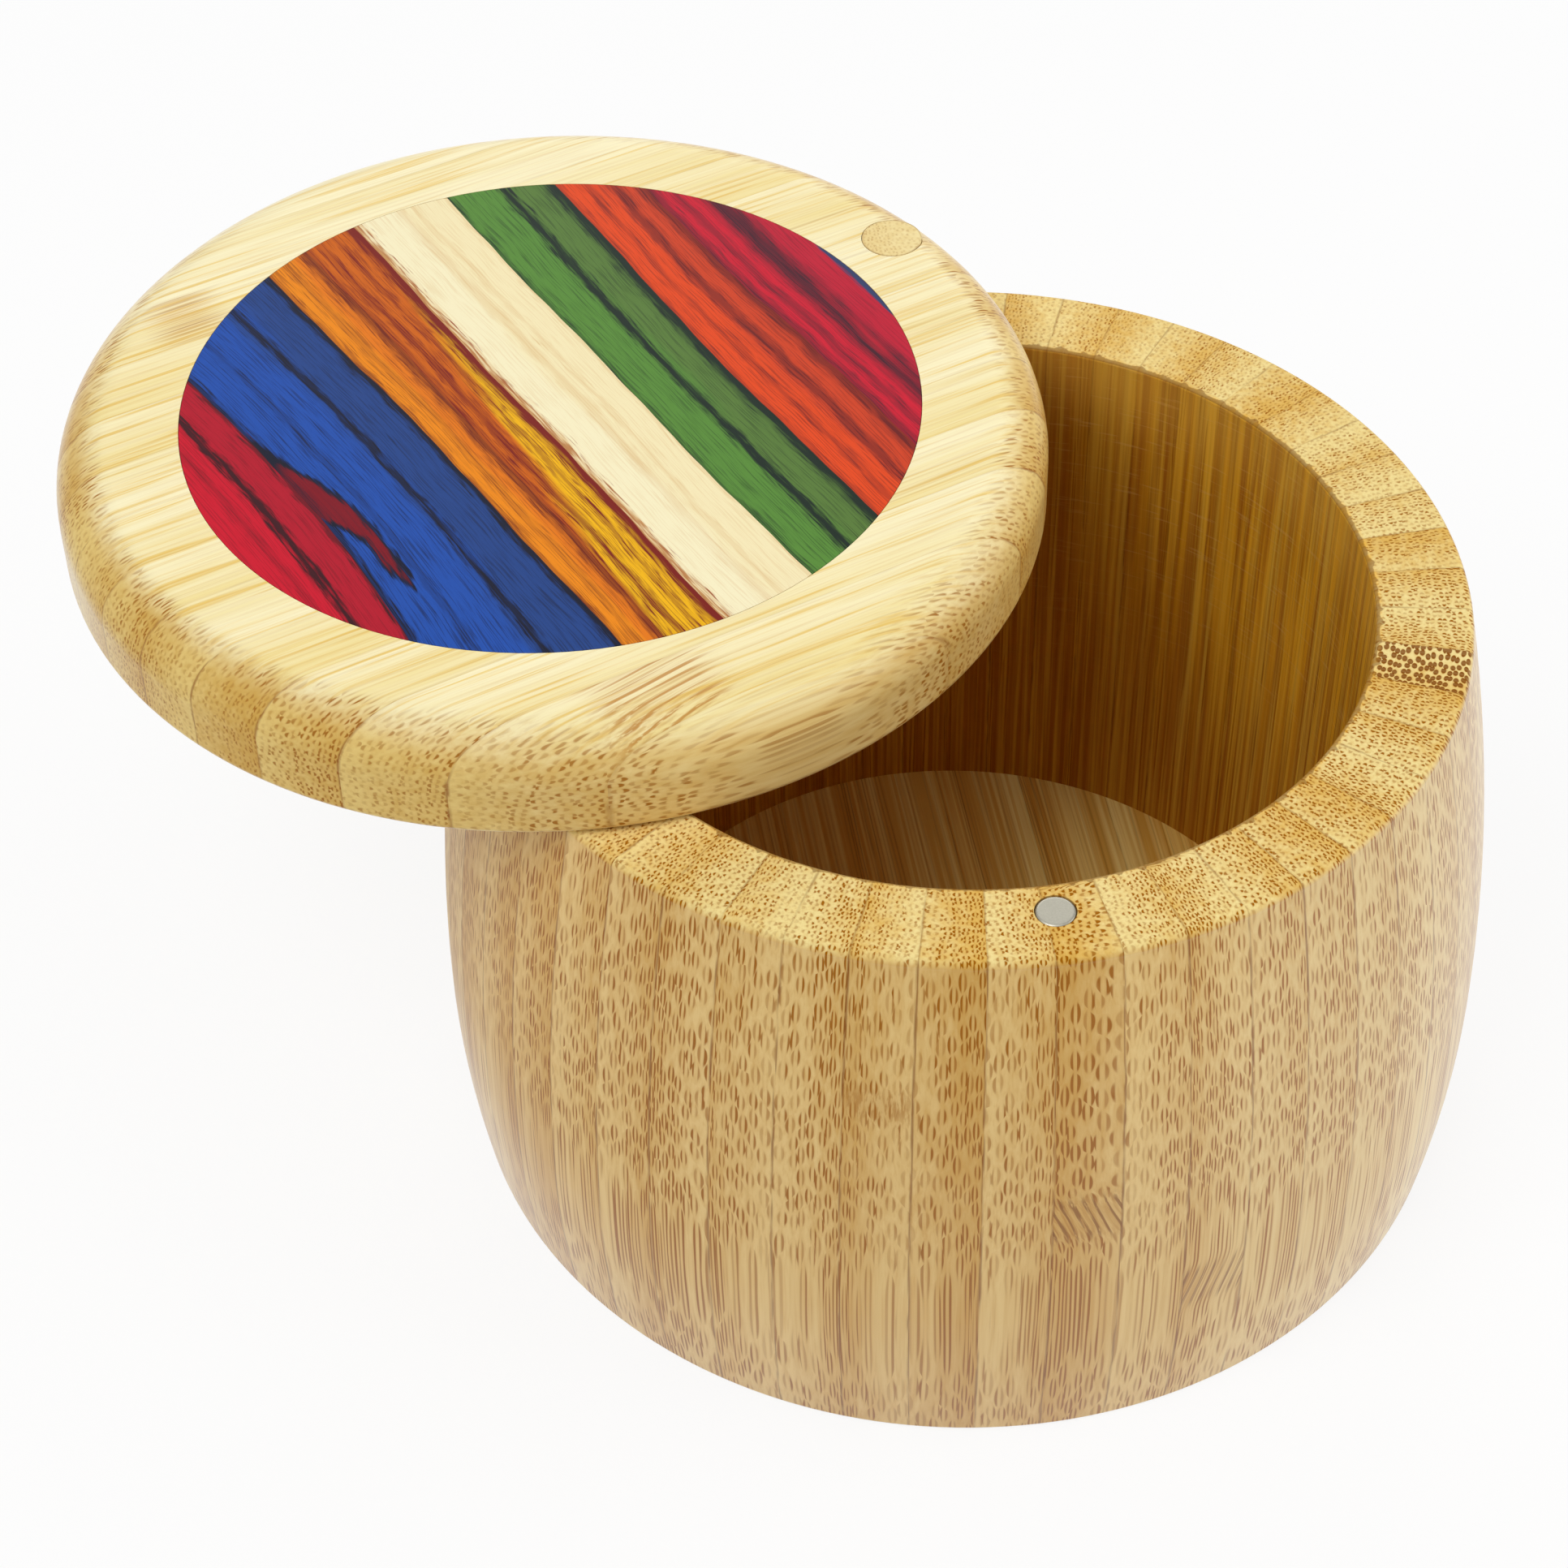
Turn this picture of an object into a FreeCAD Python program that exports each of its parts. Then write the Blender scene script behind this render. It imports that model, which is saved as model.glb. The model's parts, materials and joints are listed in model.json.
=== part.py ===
import FreeCAD, Part
import os
import math
import Sketcher

# Round bamboo salt box with a swivel lid, in millimetres.
# The origin is the centre of the foot, Z points up, the pivot stands at +Y and the catch at -Y.
# The lid is drawn closed and then swung about the pivot to where it stands at rest.

doc = FreeCAD.newDocument("salt_box")
sheet = doc.addObject("Spreadsheet::Sheet", "sizes")

driving_sizes = {
    # Wall of the box, turned from upright staves
    "body_height": "58.8",
    "mouth_radius": "35.85",
    "mouth_round": "0.4",
    "well_radius": "34.9",
    "rim_width": "8.6",
    "rim_round": "0.8",
    "belly_bulge": "4.15",
    "belly_height": "17.4",
    "foot_tuck": "1.4",
    "foot_round": "0.6",
    "stave_count": "50",
    "stave_start_angle": "2.3",
    # Floor board of parallel strips, let into a rabbet from below
    "floor_thickness": "3",
    "floor_rabbet": "3",
    "floor_clearance": "0.1",
    "floor_strip_count": "9",
    # Lid board of parallel strips, as wide as the rim, one edge strip narrower than the rest
    "lid_thickness": "10.2",
    "lid_gap": "0.2",
    "lid_top_round": "5",
    "lid_foot_round": "1",
    "lid_strip_count": "14",
    "lid_edge_strip": "3.1",
    "lid_grain_angle": "-8",
    "lid_open_angle": "61",
    # Round inlay of coloured strips, flush with the top of the lid, and the wood between it
    # and the pivot hole. The strips keep to these widths among each other and fill the disc.
    "inlay_web": "3.04",
    "inlay_thickness": "3",
    "inlay_clearance": "0.05",
    "inlay_angle": "-5",
    "red_width": "7.25",
    "blue_width": "14.2",
    "orange_width": "5",
    "gold_width": "3.85",
    "cream_width": "9.75",
    "green_width": "9.3",
    "vermilion_width": "7.9",
    "crimson_width": "8.85",
    # Pivot dowel and the two magnets of the catch, with the wood between bore and dowel
    "bore_web": "0.33",
    "dowel_diameter": "5.6",
    "dowel_depth": "26",
    "dowel_chamfer": "0.6",
    "dowel_end_room": "1",
    "glue_clearance": "0.02",
    "running_clearance": "0.06",
    "magnet_diameter": "3.5",
    "magnet_length": "3",
    "magnet_round": "0.3",
}
for row, (alias, text) in enumerate(driving_sizes.items(), start=1):
    sheet.set(f"A{row}", alias)
    sheet.set(f"B{row}", text)
    sheet.setAlias(f"B{row}", alias)
doc.recompute()

nodes = []  # every finished sub-part, in the order that its file is written


def node(piece, label):
    piece.Label = label
    nodes.append(piece)
    return piece


def primitive(kind, name, **sizes):
    piece = doc.addObject(kind, name)
    for path, expression in sizes.items():
        piece.setExpression(path.replace("__", "."), expression)
    return piece


def boolean(kind, name, base, tool):
    piece = doc.addObject(kind, name)
    piece.Base = base
    piece.Tool = tool
    return piece


def tie(sketch, kind, side, end, value, expression):
    # Distance of one point from the sketch's origin, bound to the sheet
    number = sketch.addConstraint(Sketcher.Constraint(kind, -1, 1, side, end, value))
    sketch.setExpression(f"Constraints[{number}]", expression)


def half_section(name, corners, round_centres):
    # Closed outline in the XZ plane. Each corner is (radius, height). The side that starts at
    # corner i is an arc if round_centres[i] ties its centre's "x" or "y" to an expression.
    sketch = doc.addObject("Sketcher::SketchObject", name)
    sketch.Placement = FreeCAD.Placement(
        FreeCAD.Vector(0, 0, 0), FreeCAD.Rotation(FreeCAD.Vector(1, 0, 0), 90)
    )
    points = []
    for across, up in corners:
        points.append(FreeCAD.Vector(sketch.evalExpression(across), sketch.evalExpression(up), 0))
    flat = FreeCAD.Vector(0, 0, 1)
    for i, start in enumerate(points):
        end = points[(i + 1) % len(points)]
        if i not in round_centres:
            sketch.addGeometry(Part.LineSegment(start, end))
            continue
        axis, expression = round_centres[i]
        fixed = sketch.evalExpression(expression)
        chord = end - start
        middle = (start + end) * 0.5
        # The centre lies on the chord's perpendicular bisector, at the given x or y.
        if axis == "x":
            centre = FreeCAD.Vector(fixed, middle.y - (fixed - middle.x) * chord.x / chord.y, 0)
        else:
            centre = FreeCAD.Vector(middle.x - (fixed - middle.y) * chord.y / chord.x, fixed, 0)
        circle = Part.Circle(centre, flat, (start - centre).Length)
        first = math.atan2(start.y - centre.y, start.x - centre.x)
        last = math.atan2(end.y - centre.y, end.x - centre.x)
        sketch.addGeometry(Part.ArcOfCircle(circle, first, last))
    for i in range(len(points)):
        sketch.addConstraint(Sketcher.Constraint("Coincident", i, 2, (i + 1) % len(points), 1))
    for i, point in enumerate(points):
        for kind, value, expression in (
            ("DistanceX", point.x, corners[i][0]),
            ("DistanceY", point.y, corners[i][1]),
        ):
            tie(sketch, kind, i, 1, value, expression)
    for i, (axis, expression) in round_centres.items():
        kind = "DistanceX" if axis == "x" else "DistanceY"
        tie(sketch, kind, i, 3, sketch.evalExpression(expression), expression)
    return sketch


def turned(name, section, angle):
    piece = doc.addObject("Part::Revolution", name)
    piece.Source = section
    piece.Axis = FreeCAD.Vector(0, 0, 1)
    piece.Solid = True
    piece.setExpression("Angle", angle)
    return piece


# Outer radii of the wall, each from the one that it follows, and the lid's, flush with the rim
rim_radius = "(sizes.mouth_radius + sizes.rim_width)"
belly_radius = f"({rim_radius} + sizes.belly_bulge)"
foot_radius = f"({belly_radius} - sizes.foot_tuck)"
lid_radius = rim_radius

# Holes and pins on the pivot circle, which the wall and the lid share
lid_foot = "(sizes.body_height + sizes.lid_gap)"
lid_top = f"({lid_foot} + sizes.lid_thickness)"
dowel_foot = "(sizes.body_height - sizes.dowel_depth)"
dowel_radius = "(sizes.dowel_diameter / 2)"
magnet_radius = "(sizes.magnet_diameter / 2)"
socket_radius = f"({dowel_radius} + sizes.glue_clearance)"
hole_radius = f"({dowel_radius} + sizes.running_clearance)"
pivot_radius = f"(sizes.mouth_radius + sizes.bore_web + {socket_radius})"

dowel_socket = primitive(
    "Part::Cylinder",
    "dowel_socket",
    Radius=socket_radius,
    Height="sizes.dowel_depth + sizes.dowel_end_room",
    Placement__Base__y=pivot_radius,
    Placement__Base__z=f"{dowel_foot} - sizes.dowel_end_room",
)
rim_magnet_socket = primitive(
    "Part::Cylinder",
    "rim_magnet_socket",
    Radius=f"{magnet_radius} + sizes.glue_clearance",
    Height="sizes.magnet_length",
    Placement__Base__y=f"-{pivot_radius}",
    Placement__Base__z="sizes.body_height - sizes.magnet_length",
)
doc.recompute()

# Wall: one section, turned through the width of a stave, and repeated round the axis
floor_seat = "(sizes.well_radius + sizes.floor_rabbet)"
wall_section = half_section(
    "wall_section",
    [
        (floor_seat, "0"),
        (f"{foot_radius} - sizes.foot_round", "0"),
        (foot_radius, "sizes.foot_round"),
        (belly_radius, "sizes.belly_height"),
        (rim_radius, "sizes.body_height - sizes.rim_round"),
        (f"{rim_radius} - sizes.rim_round", "sizes.body_height"),
        ("sizes.mouth_radius + sizes.mouth_round", "sizes.body_height"),
        ("sizes.mouth_radius", "sizes.body_height - sizes.mouth_round"),
        ("sizes.well_radius", "sizes.floor_thickness"),
        (floor_seat, "sizes.floor_thickness"),
    ],
    {
        1: ("x", f"{foot_radius} - sizes.foot_round"),
        2: ("y", "sizes.belly_height"),
        3: ("y", "sizes.belly_height"),
        4: ("x", f"{rim_radius} - sizes.rim_round"),
        6: ("x", "sizes.mouth_radius + sizes.mouth_round"),
    },
)
stave_angle = 360 / sheet.stave_count


def meets_stave(index, at_angle, radius):
    # True where a hole of this radius on the pivot circle cuts into the stave
    reach = math.degrees(math.asin(radius / sheet.evalExpression(pivot_radius)))
    middle = sheet.stave_start_angle + (index + 0.5) * stave_angle
    apart = abs((middle - at_angle + 180) % 360 - 180)
    return apart < reach + stave_angle / 2


staves = []
for index in range(int(sheet.stave_count)):
    stave = turned(f"stave_{index + 1:02d}", wall_section, "360 / sizes.stave_count")
    stave.setExpression(
        "Placement.Rotation.Angle",
        f"sizes.stave_start_angle + {index} * 360 / sizes.stave_count",
    )
    if meets_stave(index, 90, dowel_socket.Radius.Value):
        stave = boolean("Part::Cut", f"hinge_stave_{index + 1:02d}", stave, dowel_socket)
    if meets_stave(index, 270, rim_magnet_socket.Radius.Value):
        stave = boolean("Part::Cut", f"catch_stave_{index + 1:02d}", stave, rim_magnet_socket)
    staves.append(stave)

staves_in_node = 2
for first in range(0, len(staves), staves_in_node):
    pair = doc.addObject("Part::Compound", "stave_pair")
    pair.Links = staves[first:first + staves_in_node]
    node(pair, f"wall_stave_pair_{first // staves_in_node + 1:02d}")


def strip(name, blank, reach, low, high, turn, foot, thickness):
    # The slice of a blank between two parallel joints. The blank's middle is on the axis,
    # the joints stand low and high along Y, turned about the axis.
    slab = primitive(
        "Part::Box",
        f"{name}_slab",
        Length=f"2 * ({reach})",
        Width=f"({high}) - ({low})",
        Height=thickness,
        Placement=(
            f"placement(vector(0; 0; 0); rotation(vector(0; 0; 1); {turn}))"
            f" * placement(vector(-({reach}); {low}; {foot}); rotation(vector(0; 0; 1); 0))"
        ),
    )
    return boolean("Part::Common", name, blank, slab)


# Floor board: a disc cut along parallel joints into strips of one width
floor_radius = f"({floor_seat} - sizes.floor_clearance)"
floor_blank = primitive(
    "Part::Cylinder",
    "floor_blank",
    Radius=floor_radius,
    Height="sizes.floor_thickness",
)
floor_step = f"(2 * {floor_radius} / sizes.floor_strip_count)"
for index in range(int(sheet.floor_strip_count)):
    label = f"floor_strip_{index + 1}"
    low = f"({index} * {floor_step} - {floor_radius})"
    high = f"({index + 1} * {floor_step} - {floor_radius})"
    piece = strip(label, floor_blank, floor_radius, low, high, "90", "0", "sizes.floor_thickness")
    node(piece, label)

# Pivot dowel, glued into the wall, its top flush with the lid
dowel_rod = primitive(
    "Part::Cylinder",
    "dowel_rod",
    Radius=dowel_radius,
    Height=f"{lid_top} - {dowel_foot}",
    Placement__Base__y=pivot_radius,
    Placement__Base__z=dowel_foot,
)
doc.recompute()


def end_edge(shape, height):
    # Number of the round edge of a rod that lies at this height
    for number, edge in enumerate(shape.Edges, start=1):
        box = edge.BoundBox
        if abs(box.ZMin - height) < 1e-6 and abs(box.ZMax - height) < 1e-6:
            return number
    raise ValueError("no edge at this height")


dowel = doc.addObject("Part::Chamfer", "dowel")
dowel.Base = dowel_rod
dowel_end = end_edge(dowel_rod.Shape, dowel_rod.Placement.Base.z)
dowel.Edges = [(dowel_end, sheet.dowel_chamfer, sheet.dowel_chamfer)]
node(dowel, "pivot_dowel")


def magnet(name, foot, shown_end):
    # Short round magnet with its shown edge rounded
    slug = primitive(
        "Part::Cylinder",
        f"{name}_slug",
        Radius=magnet_radius,
        Height="sizes.magnet_length",
        Placement__Base__y=f"-{pivot_radius}",
        Placement__Base__z=foot,
    )
    doc.recompute()
    piece = doc.addObject("Part::Fillet", name)
    piece.Base = slug
    edge = end_edge(slug.Shape, sheet.evalExpression(shown_end))
    piece.Edges = [(edge, sheet.magnet_round, sheet.magnet_round)]
    return piece


rim_magnet_foot = "sizes.body_height - sizes.magnet_length"
node(magnet("rim_magnet_piece", rim_magnet_foot, "sizes.body_height"), "rim_magnet")

# Lid: a turned board with a recess for the inlay, a pivot hole and a blind hole for its magnet
recess_radius = f"({pivot_radius} - {hole_radius} - sizes.inlay_web)"
recess_foot = f"({lid_top} - sizes.inlay_thickness)"
lid_section = half_section(
    "lid_section",
    [
        ("0", lid_foot),
        (f"{lid_radius} - sizes.lid_foot_round", lid_foot),
        (lid_radius, f"{lid_foot} + sizes.lid_foot_round"),
        (lid_radius, f"{lid_top} - sizes.lid_top_round"),
        (f"{lid_radius} - sizes.lid_top_round", lid_top),
        (recess_radius, lid_top),
        (recess_radius, recess_foot),
        ("0", recess_foot),
    ],
    {
        1: ("x", f"{lid_radius} - sizes.lid_foot_round"),
        3: ("x", f"{lid_radius} - sizes.lid_top_round"),
    },
)
lid_board = turned("lid_board", lid_section, "360")
pivot_hole = primitive(
    "Part::Cylinder",
    "pivot_hole",
    Radius=hole_radius,
    Height="sizes.lid_thickness",
    Placement__Base__y=pivot_radius,
    Placement__Base__z=lid_foot,
)
lid_magnet_socket = primitive(
    "Part::Cylinder",
    "lid_magnet_socket",
    Radius=f"{magnet_radius} + sizes.glue_clearance",
    Height="sizes.magnet_length",
    Placement__Base__y=f"-{pivot_radius}",
    Placement__Base__z=lid_foot,
)
drilled_lid = boolean("Part::Cut", "drilled_lid", lid_board, pivot_hole)
lid_blank = boolean("Part::Cut", "lid_blank", drilled_lid, lid_magnet_socket)

# Everything on the lid is swung open about the pivot by this placement.
swung = (
    "placement(vector(0; 0; 0); rotation(vector(0; 0; 1); -sizes.lid_open_angle);"
    f" vector(0; {pivot_radius}; 0))"
)


def lid_node(piece, label):
    piece.setExpression("Placement", swung)
    node(piece, label)


# Lid strips, along the line from the pivot to the catch but for the grain angle
lid_step = f"((2 * {lid_radius} - sizes.lid_edge_strip) / (sizes.lid_strip_count - 1))"
lid_joints = [f"({index} * {lid_step} - {lid_radius})" for index in range(int(sheet.lid_strip_count))]
lid_joints.append(lid_radius)
for index, (low, high) in enumerate(zip(lid_joints, lid_joints[1:]), start=1):
    label = f"lid_strip_{index:02d}"
    turn = "sizes.lid_grain_angle - 90"
    piece = strip(label, lid_blank, lid_radius, low, high, turn, lid_foot, "sizes.lid_thickness")
    lid_node(piece, label)

# Inlay: a disc of coloured strips laid across the lid's own strips
inlay_radius = f"({recess_radius} - sizes.inlay_clearance)"
inlay_blank = primitive(
    "Part::Cylinder",
    "inlay_blank",
    Radius=inlay_radius,
    Height="sizes.inlay_thickness",
    Placement__Base__z=recess_foot,
)
colours = ("red", "blue", "orange", "gold", "cream", "green", "vermilion", "crimson")
colour_widths = [f"sizes.{colour}_width" for colour in colours]
all_widths = " + ".join(colour_widths)
inlay_joints = []
for index in range(len(colours) + 1):
    widths_before = " + ".join(colour_widths[:index]) or "0"
    inlay_joints.append(f"(2 * {inlay_radius} * ({widths_before}) / ({all_widths}) - {inlay_radius})")
for colour, low, high in zip(colours, inlay_joints, inlay_joints[1:]):
    label = f"inlay_strip_{colour}"
    piece = strip(
        label,
        inlay_blank,
        inlay_radius,
        low,
        high,
        "sizes.inlay_angle",
        recess_foot,
        "sizes.inlay_thickness",
    )
    lid_node(piece, label)

lid_node(magnet("lid_magnet_piece", lid_foot, lid_foot), "lid_magnet")

doc.recompute()
for piece in doc.Objects:
    if "Invalid" in piece.State or "Error" in piece.State:
        raise ValueError(f"{piece.Label} failed: {piece.State}")
for piece in nodes:
    if piece.Shape.isNull() or not piece.Shape.isValid() or not piece.Shape.Solids:
        raise ValueError(f"{piece.Label} has no valid solid")

os.makedirs("parts", exist_ok=True)
for piece in nodes:
    piece.Shape.exportStep(f"parts/{piece.Label}.step")
    print(f"{piece.Label}: {len(piece.Shape.Solids)} solids, {piece.Shape.Volume:.1f} mm3")
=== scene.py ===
import json
import math
import bpy
import numpy as np
from mathutils import Matrix, Vector


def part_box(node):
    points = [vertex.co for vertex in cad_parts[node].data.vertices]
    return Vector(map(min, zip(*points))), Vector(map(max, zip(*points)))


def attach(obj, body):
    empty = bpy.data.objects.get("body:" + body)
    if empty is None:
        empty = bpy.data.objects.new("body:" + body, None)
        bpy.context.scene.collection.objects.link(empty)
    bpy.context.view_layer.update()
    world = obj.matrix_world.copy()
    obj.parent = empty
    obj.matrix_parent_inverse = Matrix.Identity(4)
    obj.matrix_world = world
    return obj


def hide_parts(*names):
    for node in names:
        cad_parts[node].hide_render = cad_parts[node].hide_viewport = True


# Round bamboo salt box: looks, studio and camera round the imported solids. Shader maths is in millimetres.

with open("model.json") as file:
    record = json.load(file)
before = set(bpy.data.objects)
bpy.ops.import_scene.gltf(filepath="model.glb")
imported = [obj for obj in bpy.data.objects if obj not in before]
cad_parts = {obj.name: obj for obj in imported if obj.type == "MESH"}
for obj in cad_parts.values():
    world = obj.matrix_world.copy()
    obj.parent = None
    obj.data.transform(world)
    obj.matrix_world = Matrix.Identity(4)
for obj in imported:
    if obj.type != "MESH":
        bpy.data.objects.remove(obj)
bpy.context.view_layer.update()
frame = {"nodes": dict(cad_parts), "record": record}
nodes = frame["nodes"]
mm = 0.001
print("frame loaded:", len(nodes), "nodes")


def groupBox(prefix):
    # lowest and highest corner of every node whose name starts alike, in millimetres
    corners = np.array([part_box(name) for name in nodes if name.startswith(prefix)]) / mm
    return corners[:, 0].min(axis=0), corners[:, 1].max(axis=0)


def paint(red, green, blue):
    # screen colour, 0 to 255, as the linear colour that a shader takes
    shares = np.array([red, green, blue]) / 255
    linear = np.where(shares > 0.04045, ((shares + 0.055) / 1.055) ** 2.4, shares / 12.92)
    return (*linear.tolist(), 1.0)


class Wire:
    # one socket of a material, so that shader maths reads as plain sums and products
    def __init__(self, tree, socket):
        self.tree = tree
        self.socket = socket

    def node(self, kind, settings, inputs, output=0):
        made = self.tree.nodes.new(kind)
        for name, value in settings.items():
            setattr(made, name, value)
        for name, value in inputs.items():
            if isinstance(value, Wire):
                self.tree.links.new(value.socket, made.inputs[name])
            else:
                made.inputs[name].default_value = value
        return Wire(self.tree, made.outputs[output])

    def other(self, output):
        return Wire(self.tree, self.socket.node.outputs[output])

    def maths(self, operation, *values):
        inputs = dict(enumerate(values))
        return self.node("ShaderNodeMath", {"operation": operation}, inputs)

    def __add__(self, value):
        return self.maths("ADD", self, value)

    def __sub__(self, value):
        return self.maths("SUBTRACT", self, value)

    def __mul__(self, value):
        return self.maths("MULTIPLY", self, value)

    def __truediv__(self, value):
        return self.maths("DIVIDE", self, value)

    def __radd__(self, value):
        return self.maths("ADD", value, self)

    def __rsub__(self, value):
        return self.maths("SUBTRACT", value, self)

    def __rmul__(self, value):
        return self.maths("MULTIPLY", value, self)

    def __abs__(self):
        return self.maths("ABSOLUTE", self)

    def __gt__(self, value):
        return self.maths("GREATER_THAN", self, value)

    def smooth(self, low, high):
        # 0 at low and 1 at high, eased between them
        settings = {"interpolation_type": "SMOOTHSTEP"}
        return self.node("ShaderNodeMapRange", settings, {"Value": self, "From Min": low, "From Max": high})

    def ranged(self, low, high):
        # low where this wire is 0, high where it is 1
        return low + self * (high - low)

    def parts(self):
        first = self.node("ShaderNodeSeparateXYZ", {}, {0: self})
        return first, first.other(1), first.other(2)

    def point(self, x, y, z):
        return self.node("ShaderNodeCombineXYZ", {}, {0: x, 1: y, 2: z})

    def noise(self, point, detail=2.0, output=0):
        return self.node("ShaderNodeTexNoise", {}, {"Vector": point, "Scale": 1.0, "Detail": detail}, output)

    def chances(self, seed):
        # three random numbers that hold for one strip
        colour = self.node("ShaderNodeTexWhiteNoise", {"noise_dimensions": "1D"}, {"W": self + seed}, 1)
        return colour.parts()

    def mixed(self, first, second, mode="MIX"):
        # colour from first to second as this wire goes from 0 to 1
        settings = {"data_type": "RGBA", "blend_type": mode, "clamp_factor": True}
        return self.node("ShaderNodeMix", settings, {0: self, 6: first, 7: second}, 2)


def newMaterial(name):
    material = bpy.data.materials.new(name)
    material.use_nodes = True
    tree = material.node_tree
    shader = tree.nodes["Principled BSDF"]
    start = Wire(tree, shader.outputs[0])
    coordinates = start.node("ShaderNodeTexCoord", {}, {}, "Object")
    scaled = start.node("ShaderNodeVectorMath", {"operation": "SCALE"}, {0: coordinates, "Scale": 1 / mm})
    return material, shader, scaled, coordinates.other("Normal")


def finish(shader, wires, constants):
    # links what varies and sets what doesn't on the shader's own sockets
    for name, wire in wires.items():
        wire.tree.links.new(wire.socket, shader.inputs[name])
    for name, value in constants.items():
        shader.inputs[name].default_value = value


def slantGloss(wire, low, high):
    # gloss that grows from low to high as the surface is seen more at a slant
    facing = wire.node("ShaderNodeLayerWeight", {}, {"Blend": 0.5}, "Facing")
    return facing.smooth(low, high)


def bumped(height, strength, depth):
    # depth in millimetres
    return height.node("ShaderNodeBump", {}, {"Strength": strength, "Distance": depth * mm, "Height": height})


# Bamboo as a solid: fibre bundles run along the strip, so an end shows dots, a slope dashes, a side streaks.
# Pairs of numbers are the ends of an eased change, or the least and most of a share.
bamboo = {
    "depthPitch": 0.52,    # between bundles, mm
    "acrossPitch": 0.84,
    "stagger": 0.5,        # shift of the next row, in pitches
    "rowShift": 7.31,      # of the pattern from strip to strip, in pitches
    "columnShift": 3.17,
    "crowding": 0.35,      # how much closer they stand on the skin side
    "jitter": 0.56,
    "wander": 0.3,         # how far a bundle strays sideways, mm
    "capPlace": 0.29,      # of the two dark caps of a bundle from its middle, in pitches
    "capSize": 0.18,
    "capBend": 0.75,
    "capLength": 0.125,    # the smaller, the longer
    "capShrink": 0.04,     # of small bundles
    "capTurn": (-0.08, 0.04),    # one cap is weaker than the other
    "capSideInk": (0.5, 1.0),
    "cellInk": (0.6, 1.0),       # from bundle to bundle
    "skinInk": (0.4, 1.0),       # from the inner side of the culm to its skin
    "stripInk": (0.8, 1.4),      # from strip to strip
    "clusterFrom": (0.3, 0.6),   # bundles are stronger in some places
    "clusterInk": (0.55, 1.0),
    "haloReach": (0.4, 0.1),     # warmer wood round a cap, in pitches
    "dotSize": (0.17, 0.1),      # whole bundles of the strip with bold dots, squares of pitches
    "dotLength": 0.7,
    "dotInk": 0.9,
    # noises: changes per mm across, in depth and along, shift from strip to strip, detail
    "drift": (0.25, 0.25, 0.04, 5.3, 1.0),
    "cluster": (0.45, 0.9, 0.02, 1.9, 1.0),
    "fibre": (5.0, 5.0, 0.08, 2.7, 3.0),
    "streak": (1.3, 1.3, 0.03, 9.1, 2.0),
    "joint": (0.5, 0.2, 0.25, 4.1, 1.0),   # in depth before across
    "coverDepth": 0.6,     # the same of a cover's own streaks, beside its own look
    "coverShift": 6.7,
    "coverDetail": 3.0,
    "coverSoft": 0.26,     # how gently the streaks of a cover begin
    "coverWander": 0.5,    # how much of the wander they follow
    "skinTone": 0.5,       # what makes wood darker: skin side, strip, streaks and clouds
    "stripTone": 0.4,
    "streakTone": 0.9,
    "cloudTone": 0.4,
    "fibreFrom": (0.45, 0.75),
    "knotCore": 0.1,       # where a knot is full, as a share of its reach
    "knotFibre": (0.42, 0.6),
    "knotFibreInk": (0.25, 1.0),
    "fannedLoss": 0.8,     # bundles fade where fibres fan out at a knot
    "fannedPatch": 0.6,    # and so does the knot's patch
    "fannedFrom": (0.1, 0.7),
    "strokeFibre": (0.3, 0.5),
    "strokeSway": 0.8,
    "strokeWidth": (0.22, 0.1),
    "jointWidth": 0.2,     # glue line, mm
    "jointCore": 0.02,
    "jointFrom": (0.28, 0.65),   # it comes and goes
    "jointEnd": (0.4, 1.0),
    "endFrom": (0.25, 0.9),      # upward part of a face's normal on upright strips, from side to end grain
    "fibreRough": 0.14,
    "bundleRough": 0.12,
    "fibreRise": 0.5,      # relief, in shares of its depth
    "bundleSink": 0.5,
    "jointSink": 0.6,
    "reliefDepth": 0.06,   # mm
}


def onStrip(strip, number):
    # 1 on that strip alone
    return abs(strip - float(number)).smooth(0.6, 0.4)


def grainNoise(strip, first, second, along, grain, output=0):
    # noise that differs from strip to strip
    firstRate, secondRate, alongRate, shift, detail = grain
    place = strip.point(first * firstRate + strip * shift, second * secondRate, along * alongRate)
    return strip.noise(place, detail, output)


def knotsOf(strip, along, look, shown=1.0):
    # where knots show, how far they push fibres sideways, the shift along that holds them to one line,
    # and where pushed fibres stand out one by one
    mark, lean, hold, fanned = strip * 0.0, strip * 0.0, strip * 0.0, strip * 0.0
    for number, place, reach, slant in look["knots"]:
        here = onStrip(strip, number) * shown
        fromKnot = along - place
        core = here * abs(fromKnot).smooth(reach, bamboo["knotCore"] * reach)
        mark = mark + core
        lean = lean + here * fromKnot.smooth(-reach, reach) * (reach * slant)
        hold = hold - core * fromKnot
        if slant:
            fanned = fanned + core
    return mark, lean, hold, fanned


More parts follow.
